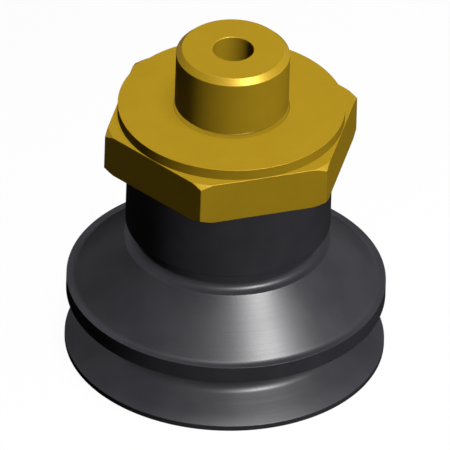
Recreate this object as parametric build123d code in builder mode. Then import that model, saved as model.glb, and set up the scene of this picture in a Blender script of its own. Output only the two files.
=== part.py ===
from build123d import *
from math import cos, radians, sin, tan
import os

# Bellows suction cup: a one-piece rubber bellows, snapped onto a turned
# hexagon fitting that carries the mounting stud and the vacuum port.
# Millimetres and degrees. The lip seals on the plane z = 0, the axis is +Z,
# and the hexagon has two of its corners on the X axis.
os.makedirs("parts", exist_ok=True)

# Outside of the bellows, from the lip up
lip_diameter = 28.0
lip_edge_height = 0.5
lip_slope = 30.0
root_radius = 1.1
underfold_slope = 25.0
fold_diameter = 28.0
fold_edge_bottom = 5.25
fold_edge_height = 1.5
ledge_width = 0.65
ledge_blend_radius = 0.75
cone_slope = 45.0
groove_diameter = 16.1
groove_height = 1.95
groove_foot_bevel = 0.35
collar_width = 1.0
neck_overhang = 0.95
neck_height = 7.1

# Inside of the bellows, mostly as walls measured in from the outside
cone_wall = 1.5
crest_wall = 2.1
underfold_wall = 1.4
waist_wall = 1.0
lip_tip_width = 0.5
lip_inner_slope = 24.0
throat_diameter = 8.0

# Fitting above the rubber
hex_across_flats = 20.0
hex_height = 4.0
hex_chamfer_diameter = 22.1
hex_chamfer_angle = 35.0
flange_diameter = 19.95
flange_thickness = 1.0
stud_diameter = 10.0
stud_length = 6.0
stud_chamfer = 0.5
undercut_depth = 0.6
undercut_height = 0.4
undercut_sink = 0.05
undercut_margin = 0.1
port_diameter = 3.6

# Shank of the fitting, hidden inside the neck
shank_diameter = 10.0
shank_length = 3.4
barb_diameter = 13.0
barb_land = 1.0
barb_lead_height = 2.0
tail_diameter = 9.4
tail_length = 0.6
snap_clearance = 0.05


def on_flank(point, slope, radius):
    """The point (r, z) at a given radius on a straight flank through another point."""
    return radius, point[1] + tan(radians(slope)) * (radius - point[0])


def meet(point_a, slope_a, point_b, slope_b):
    """Corner (r, z) of two straight flanks, each given by one point on it and its slope."""
    rise_a = tan(radians(slope_a))
    rise_b = tan(radians(slope_b))
    radius = (point_b[1] - point_a[1] + rise_a * point_a[0] - rise_b * point_b[0]) / (rise_a - rise_b)
    return on_flank(point_a, slope_a, radius)


def squared_off(point, slope, distance):
    """The point moved at right angles to a flank: upwards, or downwards if the distance is negative."""
    return point[0] - distance * sin(radians(slope)), point[1] + distance * cos(radians(slope))


# Outer corners of the bellows
fold_radius = fold_diameter / 2
fold_corner = (fold_radius, fold_edge_bottom)
lip_corner = (lip_diameter / 2, lip_edge_height)
root_corner = meet(fold_corner, underfold_slope, lip_corner, -lip_slope)
ledge_corner = (fold_radius - ledge_width, fold_edge_bottom + fold_edge_height)

groove_radius = groove_diameter / 2
neck_radius = groove_radius + neck_overhang
collar_corner = on_flank(ledge_corner, -cone_slope, groove_radius + collar_width)
collar_height = collar_corner[1]
neck_foot = collar_height + groove_height
bellows_height = neck_foot + neck_height

# Heights of the fitting
hex_bottom = bellows_height
hex_top = hex_bottom + hex_height
flange_top = hex_top + flange_thickness
barb_ledge_height = hex_bottom - shank_length
barb_land_bottom = barb_ledge_height - barb_land
barb_lead_bottom = barb_land_bottom - barb_lead_height
tail_bottom = barb_lead_bottom - tail_length


def shank_corners(gap):
    """Corners (r, z) of the shank from its barb's ledge down to its tail, grown by a gap."""
    return [
        (shank_diameter / 2 + gap, barb_ledge_height + gap),
        (barb_diameter / 2 + gap, barb_ledge_height + gap),
        (barb_diameter / 2 + gap, barb_land_bottom - gap),
        (tail_diameter / 2 + gap, barb_lead_bottom - gap),
        (tail_diameter / 2 + gap, tail_bottom - gap),
    ]


# Inner corners of the bellows. The flanks of the hollow are the outer ones set
# in by the wall. A short upright land takes the tip off each hinge: the crest
# inside the fold, and the waist inside the root.
ceiling_corner = squared_off(collar_corner, -cone_slope, -cone_wall)
crest_radius = fold_radius - crest_wall
crest_top = on_flank(ceiling_corner, -cone_slope, crest_radius)
underfold_point = squared_off(fold_corner, underfold_slope, underfold_wall)
crest_bottom = on_flank(underfold_point, underfold_slope, crest_radius)

root_centre = meet(
    squared_off(fold_corner, underfold_slope, -root_radius),
    underfold_slope,
    squared_off(lip_corner, -lip_slope, root_radius),
    -lip_slope,
)
waist_radius = root_centre[0] - root_radius - waist_wall
waist_top = on_flank(underfold_point, underfold_slope, waist_radius)
lip_inner_corner = (lip_corner[0] - lip_tip_width, 0)
waist_bottom = on_flank(lip_inner_corner, -lip_inner_slope, waist_radius)
pocket_corners = shank_corners(snap_clearance)

# Section of the bellows: each entry is a corner and the radius that rounds it
bellows_section = [
    ((pocket_corners[0][0], bellows_height), 0),
    ((neck_radius, bellows_height), 0),
    ((neck_radius, neck_foot), 0),
    ((groove_radius, neck_foot), 0),
    ((groove_radius, collar_height + groove_foot_bevel), 0),
    ((groove_radius + groove_foot_bevel, collar_height), 0),
    (collar_corner, 0),
    (ledge_corner, ledge_blend_radius),
    ((fold_radius, ledge_corner[1]), 0),
    (fold_corner, 0),
    (root_corner, root_radius),
    (lip_corner, 0),
    ((lip_corner[0], 0), 0),
    (lip_inner_corner, 0),
    (waist_bottom, 0),
    (waist_top, 0),
    (crest_bottom, 0),
    (crest_top, 0),
    (ceiling_corner, 0),
    ((throat_diameter / 2, ceiling_corner[1]), 0),
    ((throat_diameter / 2, pocket_corners[-1][1]), 0),
]
bellows_section += [(corner, 0) for corner in reversed(pocket_corners)]

with BuildPart() as bellows:
    with BuildSketch(Plane.XZ):
        with BuildLine():
            FilletPolyline(
                *[corner for corner, radius in bellows_section],
                radius=[radius for corner, radius in bellows_section],
                close=True,
            )
        make_face()
    revolve(axis=Axis.Z)

bellows.part.label = "bellows"
export_step(bellows.part, "parts/bellows.step")

# Hexagon fitting, turned and milled from one bar: hexagon, flange, stud with
# its undercut, and the shank whose barb holds the rubber, with the vacuum port
# through them.
corner_diameter = hex_across_flats / cos(radians(30))
chamfer_drop = (corner_diameter - hex_chamfer_diameter) / 2 * tan(radians(hex_chamfer_angle))

with BuildPart() as hex_fitting:
    with BuildSketch(Plane.XY.offset(hex_bottom)):
        RegularPolygon(radius=hex_across_flats / 2, side_count=6, major_radius=False)
    extrude(amount=hex_height)
    # The turned blank that the hexagon's corners are chamfered to
    with BuildSketch(Plane.XZ):
        with BuildLine():
            Polyline(
                (0, hex_bottom),
                (hex_chamfer_diameter / 2, hex_bottom),
                (corner_diameter / 2, hex_bottom + chamfer_drop),
                (corner_diameter / 2, hex_top - chamfer_drop),
                (hex_chamfer_diameter / 2, hex_top),
                (0, hex_top),
                close=True,
            )
        make_face()
    revolve(axis=Axis.Z, mode=Mode.INTERSECT)

    with BuildSketch(Plane.XY.offset(hex_top)):
        Circle(flange_diameter / 2)
    extrude(amount=flange_thickness)

    with BuildSketch(Plane.XY.offset(flange_top)):
        Circle(stud_diameter / 2)
    extrude(amount=stud_length)
    chamfer(hex_fitting.faces().sort_by(Axis.Z)[-1].edges(), stud_chamfer)

    # Undercut at the foot of the stud. It is sunk a little into the flange, with
    # a margin round the stud, so that nothing keeps the arm off the shoulder.
    with BuildSketch(Plane.XY.offset(flange_top - undercut_sink)):
        Circle(stud_diameter / 2 + undercut_margin)
        Circle(stud_diameter / 2 - undercut_depth, mode=Mode.SUBTRACT)
    extrude(amount=undercut_sink + undercut_height, mode=Mode.SUBTRACT)

    with BuildSketch(Plane.XZ):
        with BuildLine():
            Polyline(
                (0, hex_bottom),
                (shank_diameter / 2, hex_bottom),
                *shank_corners(0),
                (0, tail_bottom),
                close=True,
            )
        make_face()
    revolve(axis=Axis.Z)

    with BuildSketch(Plane.XY.offset(tail_bottom)):
        Circle(port_diameter / 2)
    extrude(amount=flange_top + stud_length - tail_bottom, mode=Mode.SUBTRACT)

hex_fitting.part.label = "hex_fitting"
export_step(hex_fitting.part, "parts/hex_fitting.step")
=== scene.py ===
# %% [markdown]
# # A bellows suction cup
# This is the small vacuum cup at the end of a gripper arm. Air is drawn out through the hole in
# its brass stud, the soft lip seals on a flat workpiece, and the fold in the rubber gives way a
# little so that the lip can settle. Two pieces are to be dressed: one rubber moulding and one
# brass fitting.
#
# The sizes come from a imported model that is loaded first, the frame. Everything here is built
# round it, in metres, so nothing has to be fitted afterwards.

from math import atan2, cos, degrees, dist, pi, radians, remainder, sin, sqrt, tan, tau

import bmesh
import bpy
from mathutils import Matrix, Vector


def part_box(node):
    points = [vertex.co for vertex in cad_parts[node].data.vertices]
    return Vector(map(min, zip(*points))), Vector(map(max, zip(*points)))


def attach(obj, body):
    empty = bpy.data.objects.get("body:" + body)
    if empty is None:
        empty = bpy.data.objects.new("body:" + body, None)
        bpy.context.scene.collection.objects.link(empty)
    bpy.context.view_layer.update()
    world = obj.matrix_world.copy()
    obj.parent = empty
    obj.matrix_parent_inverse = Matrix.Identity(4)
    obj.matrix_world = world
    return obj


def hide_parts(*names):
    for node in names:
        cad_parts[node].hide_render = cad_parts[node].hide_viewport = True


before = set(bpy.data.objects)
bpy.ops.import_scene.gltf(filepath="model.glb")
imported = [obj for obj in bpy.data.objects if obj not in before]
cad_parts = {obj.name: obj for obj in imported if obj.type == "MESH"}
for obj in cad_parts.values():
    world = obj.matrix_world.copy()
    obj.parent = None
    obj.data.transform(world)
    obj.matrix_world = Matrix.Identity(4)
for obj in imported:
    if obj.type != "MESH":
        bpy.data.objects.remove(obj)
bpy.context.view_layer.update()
MM = 0.001

# %% [markdown]
# ## The camera comes first
# The picture looks down on the cup from the front, about 35 degrees above the table. The hexagon
# high up and the lip far below it are drawn at the same scale, so there is no perspective at all.
# A very long lens comes close to that, but at 1.65 m it still makes the lip half a percent too
# narrow. An orthographic camera draws every part at one scale, and its frame is set in metres.
#
# The picture also leans a little to the right, so the camera is rolled by under two degrees.

# %% Place the camera
VIEW_AZIMUTH = -17.8
VIEW_ELEVATION = 35.26
VIEW_ROLL = 1.786
FRAME_WIDTH = 39.41 * MM
CAMERA_DISTANCE = 1000 * MM
NEAREST_SEEN = 500 * MM
FARTHEST_SEEN = 5000 * MM
AIM_RIGHT = 0.07 * MM
AIM_UP = 9.96 * MM


def direction(azimuth, elevation):
    """Unit vector towards a place round the object: azimuth 0 is the front, and 90 the right."""
    a, e = radians(azimuth), radians(elevation)
    return Vector((sin(a) * cos(e), -cos(a) * cos(e), sin(e)))


back = direction(VIEW_AZIMUTH, VIEW_ELEVATION)
right = direction(VIEW_AZIMUTH + 90, 0)
up = back.cross(right)
roll = radians(VIEW_ROLL)
rolled_right = right * cos(roll) + up * sin(roll)
rolled_up = up * cos(roll) - right * sin(roll)

camera_data = bpy.data.cameras.new("flat_view")
camera_data.type = "ORTHO"
camera_data.ortho_scale = FRAME_WIDTH
camera_data.clip_start = NEAREST_SEEN
camera_data.clip_end = FARTHEST_SEEN
camera = bpy.data.objects.new("flat_view", camera_data)
place = rolled_right * AIM_RIGHT + rolled_up * AIM_UP + back * CAMERA_DISTANCE
turn = Matrix((rolled_right, rolled_up, back)).transposed().to_4x4()
camera.matrix_world = Matrix.Translation(place) @ turn
bpy.context.scene.collection.objects.link(camera)
bpy.context.scene.camera = camera
print("Camera at", [round(x, 3) for x in camera.location], "sees", round(FRAME_WIDTH / MM, 2), "mm")

# %% [markdown]
# ## Outlines with rounded corners
# Both pieces are turned shapes, so each starts as an outline in one half-plane: how far out (r)
# and how high (z), in millimetres. On a real piece no corner is perfectly sharp. The rubber takes
# small radii from its mould, and the brass is broken with a deburring tool. Those narrow rounds
# catch the light as fine lines, and they do much to make a thing look real.
#
# A Bevel modifier could add them, but it treats all edges alike. Here each corner is written with
# its own radius, so a function places the arc exactly. It also marks the points: 1 on an outer
# edge, which gets rubbed, and -1 in an inner corner, where the rubber gathers pale dust and the
# brass gets a dark line that is partly tarnish and partly painted shade. The mark is kept as an
# attribute of the mesh, and the materials read it later.

# %% Round the corners of an outline
DEGREES_PER_STEP = 9
FEWEST_STEPS = 5
FADE_OUTER = 0.12
FADE_INNER = 0.15
LARGEST_SHARE = 0.4
LARGEST_MARKED_RADIUS = 0.3


def arc(centre, radius, start, sweep, mark):
    """Points (r, z, mark) on an arc, its start and sweep given as angles."""
    steps = max(FEWEST_STEPS, round(abs(degrees(sweep)) * (1 + radius) / DEGREES_PER_STEP))
    angles = [start + sweep * i / steps for i in range(steps + 1)]
    return [(centre[0] + radius * cos(a), centre[1] + radius * sin(a), mark) for a in angles]


def round_off(corners, closed=True):
    """Points (r, z, mark) of an outline whose corners are given as (r, z, radius).

    The outline runs clockwise. Each corner becomes an arc that is tangent to both its sides, and
    its mark fades to 0 at a shoulder point on each side, a short way past the arc."""
    count = len(corners)
    places = [Vector(corner[:2]) for corner in corners]
    sides = [[places[(i + step) % count] - places[i] for step in (-1, 1)] for i in range(count)]
    halves = [before.angle(after) / 2 for before, after in sides]
    tangents = [radius / tan(half) for (r, z, radius), half in zip(corners, halves)]
    points = []
    for i, (r, z, radius) in enumerate(corners):
        if not closed and i in (0, count - 1):
            points.append((r, z, 0.0))
            continue
        ways = [side.normalized() for side in sides[i]]
        centre = places[i] + (ways[0] + ways[1]).normalized() * radius / sin(halves[i])
        start, end = (places[i] + way * tangents[i] - centre for way in ways)
        start_angle = atan2(start.y, start.x)
        sweep = remainder(atan2(end.y, end.x) - start_angle, tau)
        outer = sweep < 0
        mark = 0.0 if radius > LARGEST_MARKED_RADIUS else 1.0 if outer else -1.0
        shoulders = []
        for way, side, step in zip(ways, sides[i], (-1, 1)):
            free = side.length - tangents[i] - tangents[(i + step) % count]
            fade = min(FADE_OUTER if outer else FADE_INNER, LARGEST_SHARE * free)
            shoulders.append((*(places[i] + way * (tangents[i] + fade)), 0.0))
        points += [shoulders[0], *arc(centre, radius, start_angle, sweep, mark), shoulders[1]]
    return points


one_corner = round_off([(0, 0, 0), (1, 0, 0.1), (1, 1, 0)], closed=False)
print("An outline with one rounded corner has", len(one_corner), "points")

# %% [markdown]
# ## From outline to mesh
# Blender's Screw modifier turns an outline into a surface, and so would a plain lathe function.
# The hexagon needs more: its flats cut into the turned shape, so the outline changes with the
# direction that it faces. The function below therefore takes one outline for each column, and
# joins neighbouring columns with quads. For the rubber all the outlines are the same.
#
# Tool marks on a turned piece lie across the outline, whatever its slope. So each point also
# keeps how far along the outline it is, and the materials draw their rings with that number.
#
# Where an outline has points that fall together, their quads have no area, so doubles are merged.
# Shading is smooth but for the few corners left square, and a Weighted Normal modifier lets the
# large faces set the normals. Flats then stay flat right up to the narrow rounds beside them.

# %% Join columns of points into a solid
MERGE_DISTANCE = 1e-7
SQUARE_CORNER = radians(40)
LARGE_FACES_LEAD = 100


def distances_along(outline):
    """How far along the outline each of its points lies, in millimetres."""
    travelled = [0.0]
    for before, after in zip(outline, outline[1:]):
        travelled.append(travelled[-1] + dist(before[:2], after[:2]))
    return travelled


def solid_from_columns(name, columns):
    """A closed mesh object. Each column is (azimuth in radians, its outline's points)."""
    rows = len(columns[0][1])
    vertices = []
    marks = []
    along = []
    for azimuth, outline in columns:
        vertices += [(r * cos(azimuth) * MM, r * sin(azimuth) * MM, z * MM) for r, z, mark in outline]
        marks += [mark for r, z, mark in outline]
        along += distances_along(outline)
    faces = []
    for column in range(len(columns)):
        this, following = column * rows, (column + 1) % len(columns) * rows
        for row in range(rows):
            other = (row + 1) % rows
            faces.append((this + row, following + row, following + other, this + other))
    mesh = bpy.data.meshes.new(name)
    mesh.from_pydata(vertices, [], faces)
    mesh.attributes.new("edge_mark", "FLOAT", "POINT").data.foreach_set("value", marks)
    mesh.attributes.new("along", "FLOAT", "POINT").data.foreach_set("value", along)

    shape = bmesh.new()
    shape.from_mesh(mesh)
    bmesh.ops.remove_doubles(shape, verts=shape.verts, dist=MERGE_DISTANCE)
    bmesh.ops.dissolve_degenerate(shape, edges=shape.edges, dist=MERGE_DISTANCE)
    bmesh.ops.recalc_face_normals(shape, faces=shape.faces)
    open_edges = sum(not edge.is_manifold for edge in shape.edges)
    shape.to_mesh(mesh)
    shape.free()
    mesh.shade_smooth()
    mesh.set_sharp_from_angle(angle=SQUARE_CORNER)

    piece = bpy.data.objects.new(name, mesh)
    bpy.context.scene.collection.objects.link(piece)
    normals = piece.modifiers.new("flats_lead", "WEIGHTED_NORMAL")
    normals.weight = LARGE_FACES_LEAD
    normals.keep_sharp = True
    print(name, "has", len(mesh.polygons), "faces and", open_edges, "open edges")
    return piece


# %% [markdown]
# ## The rubber bellows
# The real one is a single moulding. From the top it has a neck that is stretched over a barb, a
# groove that lets the neck tilt, a cone, a fold with an upright edge, the hinge under the fold,
# and the thin sealing lip. Inside, its walls follow the same line, so it can fold flat.
#
# The main heights and widths are read from the frame, and the rest are its design sizes. The
# hinge gets its full radius, and the groove a soft foot, since those two carry the highlights.
#
# The shank of the fitting comes first. It hides in the neck, and the pocket that holds it has the
# same corners with a little room round them, so both pieces take them from one function.

# %% Place the shank and its pocket
cup_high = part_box("bellows")[1]
fitting_low, fitting_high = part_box("hex_fitting")
neck_top = cup_high.z / MM
shank_bottom = fitting_low.z / MM
shank_radius = 5.0
shank_length = 3.4
barb_radius = 6.5
barb_land = 1.0
barb_lead_height = 2.0
tail_radius = 4.7
snap_clearance = 0.05
shank_round = 0.1

barb_ledge = neck_top - shank_length
barb_land_bottom = barb_ledge - barb_land
barb_lead_bottom = barb_land_bottom - barb_lead_height


def shank_corners(gap):
    """Corners (r, z, radius) of the shank from its barb's ledge down to its tail, grown by a gap."""
    return [
        (shank_radius + gap, barb_ledge + gap, shank_round),
        (barb_radius + gap, barb_ledge + gap, shank_round),
        (barb_radius + gap, barb_land_bottom - gap, shank_round),
        (tail_radius + gap, barb_lead_bottom - gap, shank_round),
        (tail_radius + gap, shank_bottom - gap, shank_round),
    ]


pocket = shank_corners(snap_clearance)
print("The barb is", 2 * barb_radius, "mm wide, and its pocket", 2 * pocket[1][0])

# %% Write the outline of the rubber
lip_radius = cup_high.x / MM
fold_radius = lip_radius
neck_radius = 9.0
neck_height = 7.1
groove_radius = 8.05
groove_height = 1.95
collar_radius = 9.05
cone_slope = radians(45)
ledge_height = 6.75
fold_edge_height = 1.5
underfold_slope = radians(25)
lip_slope = radians(30)
hinge_radius = 1.1
lip_edge_height = 0.5
lip_inner_slope = radians(24)
lip_tip_width = 0.5
cone_wall = 1.5
underfold_wall = 1.4
waist_wall = 1.0
crest_wall = 2.1
throat_radius = 4.0

neck_foot = neck_top - neck_height
collar_height = neck_foot - groove_height
fold_bottom = ledge_height - fold_edge_height
ledge_inner = collar_radius + (collar_height - ledge_height) / tan(cone_slope)
hinge_depth = (fold_bottom - lip_edge_height) / (tan(underfold_slope) + tan(lip_slope))
hinge_height = lip_edge_height + hinge_depth * tan(lip_slope)
half_opening = (underfold_slope + lip_slope) / 2
centre_depth = hinge_depth - hinge_radius / sin(half_opening) * cos(half_opening - underfold_slope)
waist_radius = lip_radius - centre_depth - hinge_radius - waist_wall
crest_radius = fold_radius - crest_wall

ceiling_height = collar_height - cone_wall * cos(cone_slope)
ceiling_radius = collar_radius - cone_wall * sin(cone_slope)
crest_top = ceiling_height - (crest_radius - ceiling_radius) * tan(cone_slope)
waist_bottom = (lip_radius - lip_tip_width - waist_radius) * tan(lip_inner_slope)


def under_wall(r):
    """Height of the inner flank that runs under the fold."""
    rise = underfold_wall / cos(underfold_slope) - (fold_radius - r) * tan(underfold_slope)
    return fold_bottom + rise


rubber_corners = [
    (pocket[0][0], neck_top, 0.1),
    (neck_radius, neck_top, 0.15),
    (neck_radius, neck_foot, 0.06),
    (groove_radius, neck_foot, 0.1),
    (groove_radius, collar_height, 0.6),
    (collar_radius, collar_height, 0.06),
    (ledge_inner, ledge_height, 0.6),
    (fold_radius, ledge_height, 0.025),
    (fold_radius, fold_bottom, 0.05),
    (lip_radius - hinge_depth, hinge_height, hinge_radius),
    (lip_radius, lip_edge_height, 0.025),
    (lip_radius, 0, 0.05),
    (lip_radius - lip_tip_width, 0, 0.08),
    (waist_radius, waist_bottom, 0.6),
    (waist_radius, under_wall(waist_radius), 0.6),
    (crest_radius, under_wall(crest_radius), 0.12),
    (crest_radius, crest_top, 0.12),
    (ceiling_radius, ceiling_height, 0.8),
    (throat_radius, ceiling_height, 0.3),
    (throat_radius, pocket[-1][1], 0.1),
    *reversed(pocket),
]
rubber_outline = round_off(rubber_corners)
print("Rubber outline:", len(rubber_corners), "corners,", len(rubber_outline), "points")

# %% Turn it into the cup
RUBBER_COLUMNS = 288

azimuths = [tau * i / RUBBER_COLUMNS for i in range(RUBBER_COLUMNS)]
rubber_cup = solid_from_columns("rubber_cup", [(a, rubber_outline) for a in azimuths])

# %% [markdown]
# ## The brass fitting
# The real one is turned from hexagon bar in one clamping, so it has no seams: a stud with a hole
# right through it, a round flange that seats on the gripper, the hexagon for the spanner, and a
# barbed shank that hides in the rubber. The lathe also takes the corners off the hexagon, and the
# cone it cuts there leaves a curved patch on each corner.
#
# A Boolean could cut that patch, and a Bevel modifier could round what it leaves, but the patch
# runs out to a thin tip where bevels tear. Instead, every column works out its own outline. How
# far the hexagon reaches in that direction decides where the column meets the cone.

# %% Work out how far the hexagon reaches
HALF_ACROSS_FLATS = fitting_high.y / MM
HEX_BREAK = 0.03
corner_arc_centre = (HALF_ACROSS_FLATS - HEX_BREAK) / cos(radians(30))
corner_arc_half = atan2(HEX_BREAK * sin(radians(30)), corner_arc_centre + HEX_BREAK * cos(radians(30)))


def hex_reach(azimuth):
    """How far out the hexagon reaches, in a direction given from one of its corners."""
    off = abs(remainder(azimuth, radians(60)))
    if off > corner_arc_half:
        return HALF_ACROSS_FLATS / cos(radians(30) - off)
    return corner_arc_centre * cos(off) + sqrt(HEX_BREAK**2 - (corner_arc_centre * sin(off)) ** 2)


print("The hexagon reaches from", HALF_ACROSS_FLATS, "to", round(hex_reach(0), 3), "mm")

# %% [markdown]
# Next comes the rim of the hexagon, from the flat ring at its end, over the cone that the lathe
# cut, to the upright side. Where the hexagon reaches no further than the cone's start, the two
# arcs fall together into one plain round.

# %% Chamfer the rim of the hexagon
CHAMFER_RADIUS = 11.05
CHAMFER_ANGLE = radians(35)
cone_faces = pi / 2 - CHAMFER_ANGLE


def chamfered_rim(reach, level, upwards):
    """Points (r, z, mark) over one rim of the hexagon, on its upper or its lower side."""
    cone_start = CHAMFER_RADIUS - HEX_BREAK * (1 / cos(CHAMFER_ANGLE) - 1) / tan(CHAMFER_ANGLE)
    outer = reach - HEX_BREAK
    inner = min(outer, cone_start)
    drop = (outer - inner) * tan(CHAMFER_ANGLE)
    middle_r = (inner + outer) / 2 + HEX_BREAK * cos(cone_faces)
    middle_z = HEX_BREAK * (sin(cone_faces) - 1) - drop / 2
    points = [(inner - FADE_OUTER, 0, 0.0)]
    points += arc((inner, -HEX_BREAK), HEX_BREAK, pi / 2, cone_faces - pi / 2, 1.0)
    points.append((middle_r, middle_z, 0.0))
    points += arc((outer, -HEX_BREAK - drop), HEX_BREAK, cone_faces, -cone_faces, 1.0)
    points.append((reach, -HEX_BREAK - drop - FADE_OUTER, 0.0))
    return [(r, level + z if upwards else level - z, mark) for r, z, mark in points]


print("One rim has", len(chamfered_rim(hex_reach(0), 0, True)), "points")

# %% Write the fitting's outline for every direction
HEX_BOTTOM = neck_top
HEX_TOP = HEX_BOTTOM + 4.0
FLANGE_TOP = HEX_TOP + 1.0
PORT_RADIUS = 1.8
STUD_RADIUS = 5.0
STUD_CHAMFER = 0.5
UNDERCUT_RADIUS = 4.4
UNDERCUT_TOP = 0.4
UNDERCUT_SINK = 0.05
SHOULDER_RADIUS = 5.1
FLANGE_RADIUS = 9.975
STUD_TOP = fitting_high.z / MM
BORE_UPPER = (STUD_TOP + shank_bottom) / 2
BORE_LOWER = BORE_UPPER - 1.0
CORNER_SLACK = 1.01

above_hexagon = round_off([
    (PORT_RADIUS, BORE_UPPER, 0),
    (PORT_RADIUS, STUD_TOP, 0.08),
    (STUD_RADIUS - STUD_CHAMFER, STUD_TOP, 0.08),
    (STUD_RADIUS, STUD_TOP - STUD_CHAMFER, 0.08),
    (STUD_RADIUS, FLANGE_TOP + UNDERCUT_TOP, 0.03),
    (UNDERCUT_RADIUS, FLANGE_TOP + UNDERCUT_TOP, 0.08),
    (UNDERCUT_RADIUS, FLANGE_TOP - UNDERCUT_SINK, 0.08),
    (SHOULDER_RADIUS, FLANGE_TOP - UNDERCUT_SINK, 0.02),
    (SHOULDER_RADIUS, FLANGE_TOP, 0.02),
    (FLANGE_RADIUS, FLANGE_TOP, 0.03),
    (FLANGE_RADIUS, HEX_TOP, 0),
], closed=False)
below_hexagon = round_off([
    (neck_radius, HEX_BOTTOM, 0),
    (shank_radius, HEX_BOTTOM, 0.05),
    *shank_corners(0),
    (PORT_RADIUS, shank_bottom, 0.1),
    (PORT_RADIUS, BORE_LOWER, 0),
], closed=False)


def fitting_outline(azimuth):
    """The outline of the fitting in one direction."""
    reach = hex_reach(azimuth)
    top_rim = chamfered_rim(reach, HEX_TOP, upwards=True)
    bottom_rim = chamfered_rim(reach, HEX_BOTTOM, upwards=False)[::-1]
    on_corner = abs(remainder(azimuth, radians(60))) < corner_arc_half * CORNER_SLACK
    hexagon = []
    for r, z, mark in top_rim + bottom_rim:
        hexagon.append((max(r, FLANGE_RADIUS), z, 1.0 if on_corner else mark))
    return above_hexagon + hexagon + below_hexagon


print("The fitting's outline has", len(fitting_outline(0)), "points in every direction")

# %% Turn and mill the fitting
COLUMNS_PER_FLAT = 40
COLUMNS_PER_CORNER = 6

flat_start = corner_arc_half + FADE_OUTER / hex_reach(0)
flat_sweep = radians(60) - 2 * flat_start
azimuths = []
for side in range(6):
    corner = side * radians(60)
    for i in range(COLUMNS_PER_CORNER + 1):
        azimuths.append(corner + corner_arc_half * (2 * i / COLUMNS_PER_CORNER - 1))
    for i in range(COLUMNS_PER_FLAT + 1):
        azimuths.append(corner + flat_start + flat_sweep * i / COLUMNS_PER_FLAT)
brass_fitting = solid_from_columns("brass_fitting", [(a, fitting_outline(a)) for a in azimuths])

# %% [markdown]
# ## Shader maths that reads as Python
# A material is a graph of nodes, and adding each by hand buries the idea. The class below wraps
# one output socket. An expression such as `0.4 + 0.1 * noise` then adds its Math nodes by itself,
# and `node` adds any other node, with its settings first and then its inputs.

# %% Wrap a socket
class Socket:
    """One output of a node in a material, with arithmetic for its values."""

    def __init__(self, tree, output=None):
        self.tree = tree
        self.output = output

    def node(self, kind, settings=None, inputs=None, output=0):
        """Adds a node to the same material, and returns one of its outputs."""
        made = self.tree.nodes.new(kind)
        for name, value in (settings or {}).items():
            setattr(made, name, value)
        for name, value in (inputs or {}).items():
            socket = self.find(made.inputs, name)
            if isinstance(value, Socket):
                self.tree.links.new(value.output, socket)
            else:
                socket.default_value = value
        return Socket(self.tree, self.find(made.outputs, output) if made.outputs else None)

    def find(self, sockets, name):
        """A socket by its number, or the one in use that has this name."""
        if isinstance(name, int):
            return sockets[name]
        return next(socket for socket in sockets if socket.name == name and socket.enabled)

    def maths(self, operation, first, second):
        """A Math node that works on two values."""
        return self.node("ShaderNodeMath", {"operation": operation}, {0: first, 1: second})

    def __add__(self, other):
        return self.maths("ADD", self, other)

    def __radd__(self, other):
        return self.maths("ADD", other, self)

    def __sub__(self, other):
        return self.maths("SUBTRACT", self, other)

    def __rsub__(self, other):
        return self.maths("SUBTRACT", other, self)

    def __mul__(self, other):
        return self.maths("MULTIPLY", self, other)

    def __rmul__(self, other):
        return self.maths("MULTIPLY", other, self)

    def between(self, low, high):
        """Rises smoothly from 0 to 1 while the value goes from low to high."""
        settings = {"interpolation_type": "SMOOTHSTEP"}
        inputs = {"Value": self, "From Min": low, "From Max": high}
        return self.node("ShaderNodeMapRange", settings, inputs)

    def blend(self, first, second):
        """A colour between two, with this value as the share of the second."""
        inputs = {"Factor": self, "A": first, "B": second}
        return self.node("ShaderNodeMix", {"data_type": "RGBA"}, inputs, "Result")


def new_material(name):
    """An empty material and a socket to start its graph from."""
    material = bpy.data.materials.new(name)
    material.use_nodes = True
    material.node_tree.nodes.clear()
    return material, Socket(material.node_tree)


print("Shader helper ready")

# %% [markdown]
# ## Where on the piece are we?
# Patterns need a place to be drawn at. Object coordinates give the point in space, which suits
# grain and clouds, and as the pieces sit at the origin they need no unwrapping. The two numbers
# kept in the mesh give the rest: how far along the outline the point is, and whether it lies on
# an edge or in a corner.
#
# Rings from a lathe tool aren't evenly spaced. Noise in one dimension, run along the outline,
# gives lines of uneven width, and they don't shimmer as a regular wave would.

# %% Read the place and draw with it
def place_in_mm(start):
    """The point's place in millimetres."""
    metres = start.node("ShaderNodeTexCoord", None, None, "Object")
    inputs = {"Vector": metres, "Scale": 1 / MM}
    return metres.node("ShaderNodeVectorMath", {"operation": "SCALE"}, inputs)


def kept_number(start, name):
    """A number that the mesh keeps for each of its points."""
    return start.node("ShaderNodeAttribute", {"attribute_name": name}, None, "Fac")


def grain(place, per_mm, detail=2.0):
    """Noise between 0 and 1, with about this many lumps to the millimetre."""
    return place.node("ShaderNodeTexNoise", None, {"Vector": place, "Scale": per_mm, "Detail": detail})


def rings(along, per_mm):
    """Noise between 0 and 1 that changes only along the outline, as a tool's marks do."""
    inputs = {"W": along, "Scale": per_mm, "Detail": 3.0}
    return along.node("ShaderNodeTexNoise", {"noise_dimensions": "1D"}, inputs)


print("Patterns can follow the place, the edges and the way along the outline")

# %% [markdown]
# ## Black rubber
# Moulded nitrile rubber is a very dark grey, a little cold in tone, with a satin skin. The mould
# was turned on a lathe, so the skin carries its faint rings, and over them a fine grain. Edges
# that are handled turn slightly grey, and a little pale dust stays in the corners.

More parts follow.
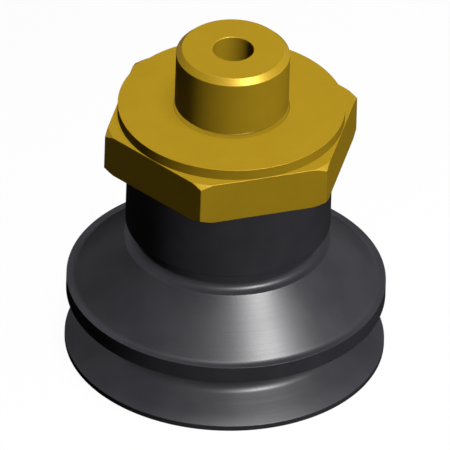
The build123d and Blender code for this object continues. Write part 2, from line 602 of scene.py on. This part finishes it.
# %% Make the rubber
RUBBER_DARK = (0.039, 0.0375, 0.0445, 1)
RUBBER_LIGHT = (0.045, 0.0435, 0.0505, 1)
RUBBER_RUBBED = (0.050, 0.048, 0.055, 1)
RUBBER_DUSTY = (0.052, 0.051, 0.054, 1)
SKIN_CLOUDS_PER_MM = 0.35
SKIN_GRAINS_PER_MM = 7.0
MOULD_RINGS_PER_MM = 2.5
SKIN_RELIEF = 0.004

rubber, start = new_material("black_rubber")
place = place_in_mm(start)
mark = kept_number(start, "edge_mark")
clouds = grain(place, SKIN_CLOUDS_PER_MM)
speckle = grain(place, SKIN_GRAINS_PER_MM)
mould_rings = rings(kept_number(start, "along"), MOULD_RINGS_PER_MM)

color = clouds.between(0.35, 0.65).blend(RUBBER_DARK, RUBBER_LIGHT)
color = (mark.between(0.0, 1.0) * speckle.between(0.4, 0.7)).blend(color, RUBBER_RUBBED)
color = ((0 - mark).between(0.0, 1.0) * speckle.between(0.4, 0.7)).blend(color, RUBBER_DUSTY)
bump = start.node("ShaderNodeBump", None, {
    "Strength": 1.0,
    "Distance": MM,
    "Height": SKIN_RELIEF * mould_rings + SKIN_RELIEF * speckle,
})

surface = start.node("ShaderNodeBsdfPrincipled", None, {
    "Base Color": color,
    "Roughness": 0.38 + 0.06 * clouds,
    "Specular IOR Level": 0.75,
    "Normal": bump,
})
start.node("ShaderNodeOutputMaterial", None, {"Surface": surface})
rubber_cup.data.materials.append(rubber)
print("Rubber uses", len(rubber.node_tree.nodes), "nodes")

# %% [markdown]
# ## Turned brass
# Free-cutting brass comes off the lathe bright and slightly ringed, and darkens a little with
# age. The flats of the hexagon keep the skin of the drawn bar, with fine lines along it. The
# deburred edges are rubbed brighter, and the inner corners hold a thin dark line that is partly
# tarnish and partly painted shade.
# Real brass is a full metal. In the picture it mirrors next to nothing, so here it is only
# partly metallic.

# %% Make the brass
BRASS_FRESH = (0.62, 0.387, 0.0155, 1)
BRASS_AGED = (0.590, 0.365, 0.0142, 1)
BRASS_RUBBED = (0.630, 0.400, 0.022, 1)
# Colour for inner corners: partly tarnish, partly painted shade.
BRASS_TARNISH_AND_PAINTED_SHADE = (0.20, 0.12, 0.01, 1)
SPANNER_FLATS = (9.98, 9.995)
BRASS_CLOUDS_PER_MM = 0.3
TOOL_RINGS_PER_MM = 3.0
BAR_LINES_PER_MM = 4.0
BAR_LINES_STRETCH = 0.04
TOOL_RELIEF = 0.004

brass, start = new_material("turned_brass")
place = place_in_mm(start)
mark = kept_number(start, "edge_mark")
clouds = grain(place, BRASS_CLOUDS_PER_MM, detail=3.0)
tool_rings = rings(kept_number(start, "along"), TOOL_RINGS_PER_MM)


def squeezed(place, height_share):
    """The place with its height made smaller, which draws patterns out upwards."""
    inputs = {0: place, 1: (1, 1, height_share)}
    return place.node("ShaderNodeVectorMath", {"operation": "MULTIPLY"}, inputs)


from_axis = squeezed(place, 0)
radius = start.node("ShaderNodeVectorMath", {"operation": "LENGTH"}, {0: from_axis}, "Value")
bar_lines = grain(squeezed(place, BAR_LINES_STRETCH), BAR_LINES_PER_MM)
on_flats = radius.between(*SPANNER_FLATS)

color = clouds.between(0.3, 0.7).blend(BRASS_FRESH, BRASS_AGED)
color = (mark.between(0.0, 1.0) * clouds.between(0.3, 0.7) * 0.5).blend(color, BRASS_RUBBED)
# Inner corners are darkened: partly tarnish, partly painted shade.
color = ((0 - mark).between(0.0, 1.0) * 0.6).blend(color, BRASS_TARNISH_AND_PAINTED_SHADE)
relief = (1 - on_flats) * tool_rings * TOOL_RELIEF + on_flats * bar_lines * TOOL_RELIEF
bump = start.node("ShaderNodeBump", None, {"Strength": 1.0, "Distance": MM, "Height": relief})

surface = start.node("ShaderNodeBsdfPrincipled", None, {
    "Base Color": color,
    "Metallic": 0.35,
    "Roughness": 0.41 + 0.06 * clouds,
    "Normal": bump,
})
start.node("ShaderNodeOutputMaterial", None, {"Surface": surface})
brass_fitting.data.materials.append(brass)
print("Brass uses", len(brass.node_tree.nodes), "nodes")

# %% [markdown]
# ## Tie the pieces to the frame
# Each piece stands for one node of the imported model and rides on its only body.

stand_ins = ((rubber_cup, "bellows", "rubber"), (brass_fitting, "hex_fitting", "brass"))
for piece, node, slot_name in stand_ins:
    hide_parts(node)
    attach(piece, "root")
    print(piece.name, "stands for", node)

# %% [markdown]
# ## White floor
# The cup stands on white paper, and the picture shows it as pure white. Paper lit until it
# is that bright would throw so much light back that black rubber turned grey. So rays from the
# camera meet a paper that mostly glows and takes the lamps' light for the rest, which leaves
# room for a faint shadow. Rays of reflections meet the same white where no card hides it, and
# all other rays meet a dull grey.

# %% Lay the floor
FLOOR_RADIUS = 1.5
FLOOR_DROP = 0.01 * MM
PAPER_WHITE = (1, 1, 1, 1)
PAPER_DULL = (0.2, 0.2, 0.2, 1)
PAPER_GLOW = 0.85
DISC_SEGMENTS = 96


def disc(name, radius, height, material):
    """A flat round sheet at the given height, with one material."""
    mesh = bpy.data.meshes.new(name)
    shape = bmesh.new()
    bmesh.ops.create_circle(shape, cap_ends=True, segments=DISC_SEGMENTS, radius=radius)
    bmesh.ops.translate(shape, verts=shape.verts, vec=(0, 0, height))
    shape.to_mesh(mesh)
    shape.free()
    mesh.materials.append(material)
    sheet = bpy.data.objects.new(name, mesh)
    bpy.context.scene.collection.objects.link(sheet)
    return sheet


def ray_kinds(start):
    """1 for rays that come from the camera, and 1 for those of a reflection or a clear body."""
    camera_ray, glossy_ray, clear_ray = (
        start.node("ShaderNodeLightPath", None, None, kind)
        for kind in ("Is Camera Ray", "Is Glossy Ray", "Is Transmission Ray")
    )
    return camera_ray, glossy_ray + clear_ray


paper, start = new_material("white_paper")
from_camera, from_gloss = ray_kinds(start)
seen = from_camera + from_gloss
lit = start.node("ShaderNodeBsdfDiffuse", None, {"Color": seen.blend(PAPER_DULL, PAPER_WHITE)})
glow = start.node("ShaderNodeEmission", None, {"Color": PAPER_WHITE, "Strength": 1.0})
surface = start.node("ShaderNodeMixShader", None, {0: seen * PAPER_GLOW, 1: lit, 2: glow})
start.node("ShaderNodeOutputMaterial", None, {"Surface": surface})
floor = disc("floor", FLOOR_RADIUS, -FLOOR_DROP, paper)
print("The paper is", 2 * FLOOR_RADIUS, "m wide and glows by", PAPER_GLOW)

# %% [markdown]
# ## A black card
# Upright sides of the fitting and the neck mirror the floor, and white paper there makes brass
# pale and rubber grey. A photographer lays a black card round the foot of the object and keeps
# it out of the picture. Here the card can lie right under the cup, as it is hidden from the
# camera and takes no part in the shadows: the picture shows the paper in its place.
#
# The price is that brass and rubber hardly mirror the white background: downwards they find the
# card, and white only in a narrow band at the horizon. With `card.visible_glossy = False` they
# would mirror the paper, and look much paler than the picture.

# %% Lay the black card
CARD_RADIUS = 0.35
CARD_HEIGHT = 0.005 * MM
CARD_BLACK = (0.01, 0.01, 0.01, 1)

black, start = new_material("black_card")
dull = start.node("ShaderNodeBsdfDiffuse", None, {"Color": CARD_BLACK})
start.node("ShaderNodeOutputMaterial", None, {"Surface": dull})
card = disc("black_card", CARD_RADIUS, -CARD_HEIGHT, black)
card.visible_camera = False
card.visible_shadow = False
print("The card is", 2 * CARD_RADIUS, "m wide")

# %% [markdown]
# ## Light
# One lamp stands high on the right of the camera, and makes the bright band down the cone. In
# the picture the cup throws no shadows on itself and no part of it is lit by another, so this
# lamp's light passes through everything and isn't thrown back. A second, soft lamp overhead
# does cast shadows, which sets the cup on the floor and gives the folds a little depth, but its
# light isn't thrown back either.

# %% Hang the lamps
LAMP_DISTANCE = 0.5
LAMP_AIM = Vector((0, 0, 15 * MM))


def hang_lamp(name, azimuth, elevation, power, size):
    """A round lamp that shines on the object from a direction seen from the object."""
    lamp_data = bpy.data.lights.new(name, "AREA")
    lamp_data.shape = "DISK"
    lamp_data.size = size
    lamp_data.energy = power
    towards = direction(azimuth, elevation)
    lamp = bpy.data.objects.new(name, lamp_data)
    lamp.location = LAMP_AIM + towards * LAMP_DISTANCE
    lamp.rotation_euler = towards.to_track_quat("Z", "Y").to_euler()
    bpy.context.scene.collection.objects.link(lamp)
    return lamp_data


key = hang_lamp("key_lamp", VIEW_AZIMUTH + 43, elevation=54, power=2.54, size=0.08)
key.use_shadow = False
key.cycles.max_bounces = 0
overhead = hang_lamp("overhead_lamp", VIEW_AZIMUTH + 45, elevation=80, power=0.56, size=0.2)
overhead.cycles.max_bounces = 0
print("Lamps give", key.energy, "and", overhead.energy, "watts")

# %% [markdown]
# ## The room
# A little light comes from all sides. The camera sees a white room in every direction.
# Reflections see white at the horizon, which fades out at the top of a low backdrop, about three
# degrees up, and above it they see the dark of a studio.

# %% Surround it with a room
ROOM_LIGHT = 0.035
BACKDROP_TOP = 0.05
BACKDROP_FADE = 0.05

world = bpy.data.worlds.new("studio")
bpy.context.scene.world = world
world.use_nodes = True
world.node_tree.nodes.clear()
start = Socket(world.node_tree)
from_camera, from_gloss = ray_kinds(start)
aim = start.node("ShaderNodeTexCoord", None, None, "Generated")
steepness = start.node("ShaderNodeSeparateXYZ", None, {0: aim}, "Z")
below_top = 1 - steepness.between(BACKDROP_TOP - BACKDROP_FADE, BACKDROP_TOP)
strength = ROOM_LIGHT + (1 - ROOM_LIGHT) * (from_camera + from_gloss * below_top)
room = start.node("ShaderNodeBackground", None, {"Color": (1, 1, 1, 1), "Strength": strength})
start.node("ShaderNodeOutputWorld", None, {"Surface": room})
bpy.context.scene.view_settings.view_transform = "Standard"
print("The room gives", ROOM_LIGHT, "from all sides")
